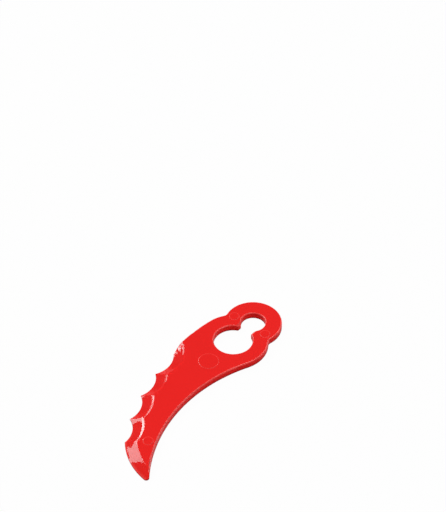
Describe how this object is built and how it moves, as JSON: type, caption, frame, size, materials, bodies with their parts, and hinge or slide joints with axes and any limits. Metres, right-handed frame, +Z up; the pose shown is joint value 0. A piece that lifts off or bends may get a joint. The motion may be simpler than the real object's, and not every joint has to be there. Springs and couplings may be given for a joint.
{
  "type": "grass trimmer blade",
  "caption": "Flat moulded plastic trimmer blade with a keyhole eye for a pin, a hooked tip and a scalloped edge bevelled on one face.",
  "frame": {"origin": "centre of the pivot hole, on the underside", "axes": "+Z up through the pivot hole, from the flat underside to the bevelled face; +X from the pivot hole through the entry hole towards the tip; the cutting edge is on the -Y side"},
  "size_m": [0.0789, 0.0277, 0.0023],
  "materials": {
    "red_plastic": "glossy red moulded plastic, coloured through"
  },
  "bodies": {
    "root": {"blade": "red_plastic"}
  },
  "joints": []
}
